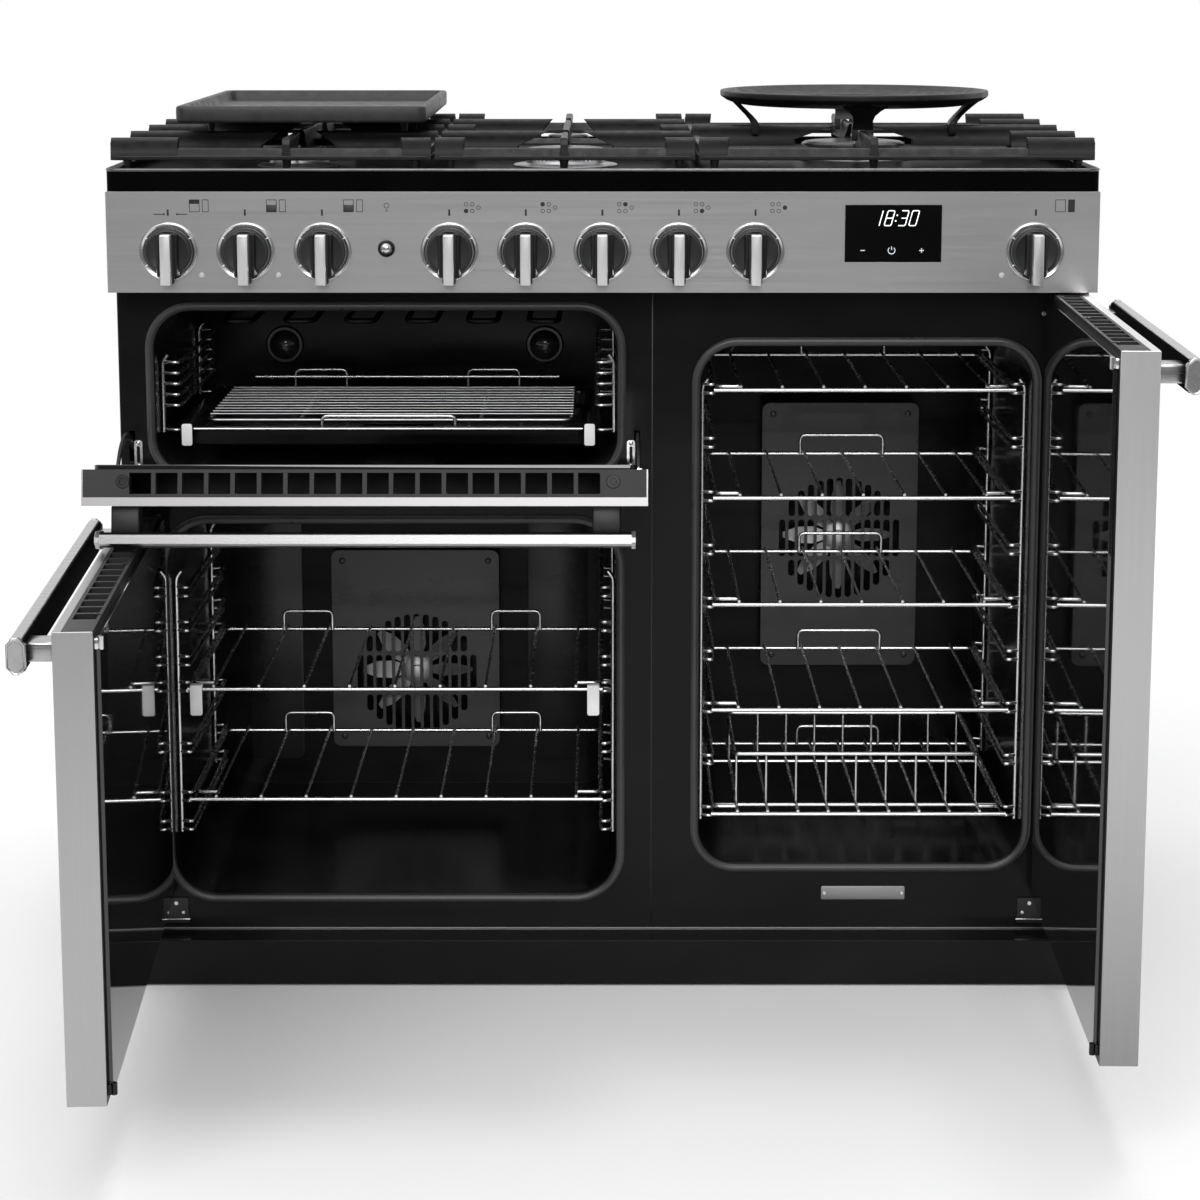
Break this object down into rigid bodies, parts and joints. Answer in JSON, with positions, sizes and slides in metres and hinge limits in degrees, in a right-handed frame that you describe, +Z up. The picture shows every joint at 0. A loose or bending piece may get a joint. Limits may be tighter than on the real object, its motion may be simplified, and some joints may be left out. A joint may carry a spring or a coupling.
{
  "type": "dual fuel range cooker",
  "caption": "Wide free standing cooker: gas hob with cast iron supports, griddle and wok ring over a grill, a wide oven and a tall oven with hinged doors.",
  "frame": {"origin": "on the floor, midway between the vertical hinge pins of the two side hung doors", "axes": "+X to the right facing the doors, +Y from the doors to the wall, +Z up"},
  "size_m": [1.1662, 1.1452, 1.017],
  "materials": {
    "galvanised": "bright zinc coat",
    "black_enamel": "gloss black enamel",
    "black_paint": "satin black paint",
    "oven_enamel": "gloss black oven enamel with fine speckle",
    "seal_rubber": "matt black seal",
    "hob_enamel": "gloss black enamel",
    "cast_iron": "matt dark grey enamelled iron",
    "griddle_iron": "smooth black seasoned iron",
    "burner_alloy": "satin alloy",
    "burner_enamel": "satin black enamel",
    "brushed_steel": "stainless steel brushed from side to side",
    "door_steel": "stainless steel brushed from side to side",
    "handle_steel": "polished steel",
    "door_black": "satin black coat",
    "door_glass": "black backed mirror-like glass",
    "display_glass": "black glass",
    "chrome": "bright chrome",
    "wire_chrome": "bright chrome wire",
    "hinge_steel": "black coated steel",
    "pan_enamel": "gloss black enamel",
    "fan_steel": "bright pressed steel",
    "element_steel": "dark oxidised tube",
    "brass": "plain brass",
    "knob_plastic": "dark grey plastic with a steel faced grip",
    "grey_plastic": "grey moulded plastic"
  },
  "bodies": {
    "cooker": {"base_tray": "galvanised", "levelling_feet": "galvanised", "plinth": "black_enamel", "side_panels": "black_paint", "back_panel": "galvanised", "face_plate": "black_enamel", "grill_liner": "oven_enamel", "main_oven_liner": "oven_enamel", "tall_oven_liner": "oven_enamel", "door_seals": "seal_rubber", "hotplate": "hob_enamel", "burner_bowls": "burner_alloy", "burner_caps": "burner_enamel", "control_panel": "brushed_steel", "display_and_lenses": "display_glass", "knob_bezels": "chrome", "door_hinges": "hinge_steel", "shelf_ladders": "wire_chrome", "fan_baffles": "oven_enamel", "gas_manifold": "brass", "oven_elements": "element_steel", "electrical_parts": "grey_plastic"},
    "main_door": {"main_door_panel": "door_steel", "main_door_frame": "door_black", "main_door_glass": "door_glass", "main_door_handle": "handle_steel"},
    "tall_door": {"tall_door_panel": "door_steel", "tall_door_frame": "door_black", "tall_door_glass": "door_glass", "tall_door_handle": "handle_steel"},
    "grill_door": {"grill_door_panel": "door_steel", "grill_door_frame": "door_black", "grill_door_glass": "door_glass", "grill_door_handle": "handle_steel"},
    "grill_knob_body": {"grill_knob": "knob_plastic"},
    "main_oven_knob_body": {"main_oven_knob": "knob_plastic"},
    "main_fan_oven_knob_body": {"main_fan_oven_knob": "knob_plastic"},
    "left_front_knob_body": {"left_front_knob": "knob_plastic"},
    "left_rear_knob_body": {"left_rear_knob": "knob_plastic"},
    "centre_rear_knob_body": {"centre_rear_knob": "knob_plastic"},
    "centre_front_knob_body": {"centre_front_knob": "knob_plastic"},
    "wok_knob_body": {"wok_knob": "knob_plastic"},
    "tall_oven_knob_body": {"tall_oven_knob": "knob_plastic"},
    "light_button_body": {"light_button": "chrome"},
    "main_shelf_upper_body": {"main_shelf_upper": "wire_chrome"},
    "main_shelf_lower_body": {"main_shelf_lower": "wire_chrome"},
    "tall_shelf_1_body": {"tall_shelf_1": "wire_chrome"},
    "tall_shelf_2_body": {"tall_shelf_2": "wire_chrome"},
    "tall_shelf_3_body": {"tall_shelf_3": "wire_chrome"},
    "tall_shelf_4_body": {"tall_shelf_4": "wire_chrome"},
    "plate_rack_body": {"plate_rack": "wire_chrome"},
    "grill_pan_body": {"grill_pan": "pan_enamel"},
    "grill_rack_body": {"grill_rack": "wire_chrome"},
    "main_fan_body": {"main_fan": "fan_steel"},
    "tall_fan_body": {"tall_fan": "fan_steel"},
    "pan_support_left_body": {"pan_support_left": "cast_iron"},
    "pan_support_centre_body": {"pan_support_centre": "cast_iron"},
    "pan_support_right_body": {"pan_support_right": "cast_iron"},
    "griddle_body": {"griddle": "griddle_iron"},
    "wok_ring_body": {"wok_ring": "cast_iron"}
  },
  "joints": [
    {"name": "main_door_hinge", "type": "hinge", "parent": "cooker", "child": "main_door", "pos_m": [-0.52, 0, 0.3], "axis": [0, 0, -1], "range_deg": [-87, 0]},
    {"name": "tall_door_hinge", "type": "hinge", "parent": "cooker", "child": "tall_door", "pos_m": [0.52, 0, 0.4], "axis": [0, 0, 1], "range_deg": [-88.6, 0]},
    {"name": "grill_door_hinge", "type": "hinge", "parent": "cooker", "child": "grill_door", "pos_m": [-0.247, -0.01, 0.5735], "axis": [1, 0, 0], "range_deg": [-79, 0]},
    {"name": "grill_knob_turn", "type": "hinge", "parent": "cooker", "child": "grill_knob_body", "pos_m": [-0.4777, -0.022, 0.8525], "axis": [0, 1, 0], "range_deg": [0, 280]},
    {"name": "main_oven_knob_turn", "type": "hinge", "parent": "cooker", "child": "main_oven_knob_body", "pos_m": [-0.39305, -0.022, 0.8525], "axis": [0, 1, 0], "range_deg": [0, 280]},
    {"name": "main_fan_oven_knob_turn", "type": "hinge", "parent": "cooker", "child": "main_fan_oven_knob_body", "pos_m": [-0.3084, -0.022, 0.8525], "axis": [0, 1, 0], "range_deg": [0, 280]},
    {"name": "left_front_knob_turn", "type": "hinge", "parent": "cooker", "child": "left_front_knob_body", "pos_m": [-0.1686, -0.022, 0.8525], "axis": [0, -1, 0], "range_deg": [0, 190]},
    {"name": "left_rear_knob_turn", "type": "hinge", "parent": "cooker", "child": "left_rear_knob_body", "pos_m": [-0.0845, -0.022, 0.8525], "axis": [0, -1, 0], "range_deg": [0, 190]},
    {"name": "centre_rear_knob_turn", "type": "hinge", "parent": "cooker", "child": "centre_rear_knob_body", "pos_m": [-0.0004, -0.022, 0.8525], "axis": [0, -1, 0], "range_deg": [0, 190]},
    {"name": "centre_front_knob_turn", "type": "hinge", "parent": "cooker", "child": "centre_front_knob_body", "pos_m": [0.0837, -0.022, 0.8525], "axis": [0, -1, 0], "range_deg": [0, 190]},
    {"name": "wok_knob_turn", "type": "hinge", "parent": "cooker", "child": "wok_knob_body", "pos_m": [0.1678, -0.022, 0.8525], "axis": [0, -1, 0], "range_deg": [0, 190]},
    {"name": "tall_oven_knob_turn", "type": "hinge", "parent": "cooker", "child": "tall_oven_knob_body", "pos_m": [0.4757, -0.022, 0.8525], "axis": [0, 1, 0], "range_deg": [0, 280]},
    {"name": "light_button_press", "type": "slide", "parent": "cooker", "child": "light_button_body", "axis": [0, 1, 0], "range_m": [0, 0.003], "stiffness_N_per_m": 300, "springref_m": -0.001},
    {"name": "main_shelf_upper_slide", "type": "slide", "parent": "cooker", "child": "main_shelf_upper_body", "axis": [0, -1, 0], "range_m": [0, 0.2]},
    {"name": "main_shelf_lower_slide", "type": "slide", "parent": "cooker", "child": "main_shelf_lower_body", "axis": [0, -1, 0], "range_m": [0, 0.2]},
    {"name": "tall_shelf_1_slide", "type": "slide", "parent": "cooker", "child": "tall_shelf_1_body", "axis": [0, -1, 0], "range_m": [0, 0.2]},
    {"name": "tall_shelf_2_slide", "type": "slide", "parent": "cooker", "child": "tall_shelf_2_body", "axis": [0, -1, 0], "range_m": [0, 0.2]},
    {"name": "tall_shelf_3_slide", "type": "slide", "parent": "cooker", "child": "tall_shelf_3_body", "axis": [0, -1, 0], "range_m": [0, 0.2]},
    {"name": "tall_shelf_4_slide", "type": "slide", "parent": "cooker", "child": "tall_shelf_4_body", "axis": [0, -1, 0], "range_m": [0, 0.2]},
    {"name": "plate_rack_slide", "type": "slide", "parent": "cooker", "child": "plate_rack_body", "axis": [0, -1, 0], "range_m": [0, 0.2]},
    {"name": "grill_pan_slide", "type": "slide", "parent": "cooker", "child": "grill_pan_body", "axis": [0, -1, 0], "range_m": [0, 0.12]},
    {"name": "grill_rack_lift", "type": "slide", "parent": "grill_pan_body", "child": "grill_rack_body", "axis": [0, 0, 1], "range_m": [0, 0.04]},
    {"name": "main_fan_spin", "type": "hinge", "parent": "cooker", "child": "main_fan_body", "pos_m": [-0.241, 0.44, 0.258], "axis": [0, 1, 0], "continuous": true},
    {"name": "tall_fan_spin", "type": "hinge", "parent": "cooker", "child": "tall_fan_body", "pos_m": [0.304, 0.44, 0.437], "axis": [0, 1, 0], "continuous": true},
    {"name": "pan_support_left_lift", "type": "slide", "parent": "cooker", "child": "pan_support_left_body", "axis": [0, 0, 1], "range_m": [0, 0.06]},
    {"name": "pan_support_centre_lift", "type": "slide", "parent": "cooker", "child": "pan_support_centre_body", "axis": [0, 0, 1], "range_m": [0, 0.06]},
    {"name": "pan_support_right_lift", "type": "slide", "parent": "cooker", "child": "pan_support_right_body", "axis": [0, 0, 1], "range_m": [0, 0.06]},
    {"name": "griddle_lift", "type": "slide", "parent": "pan_support_left_body", "child": "griddle_body", "axis": [0, 0, 1], "range_m": [0, 0.05]},
    {"name": "wok_ring_lift", "type": "slide", "parent": "pan_support_right_body", "child": "wok_ring_body", "axis": [0, 0, 1], "range_m": [0, 0.05]}
  ]
}
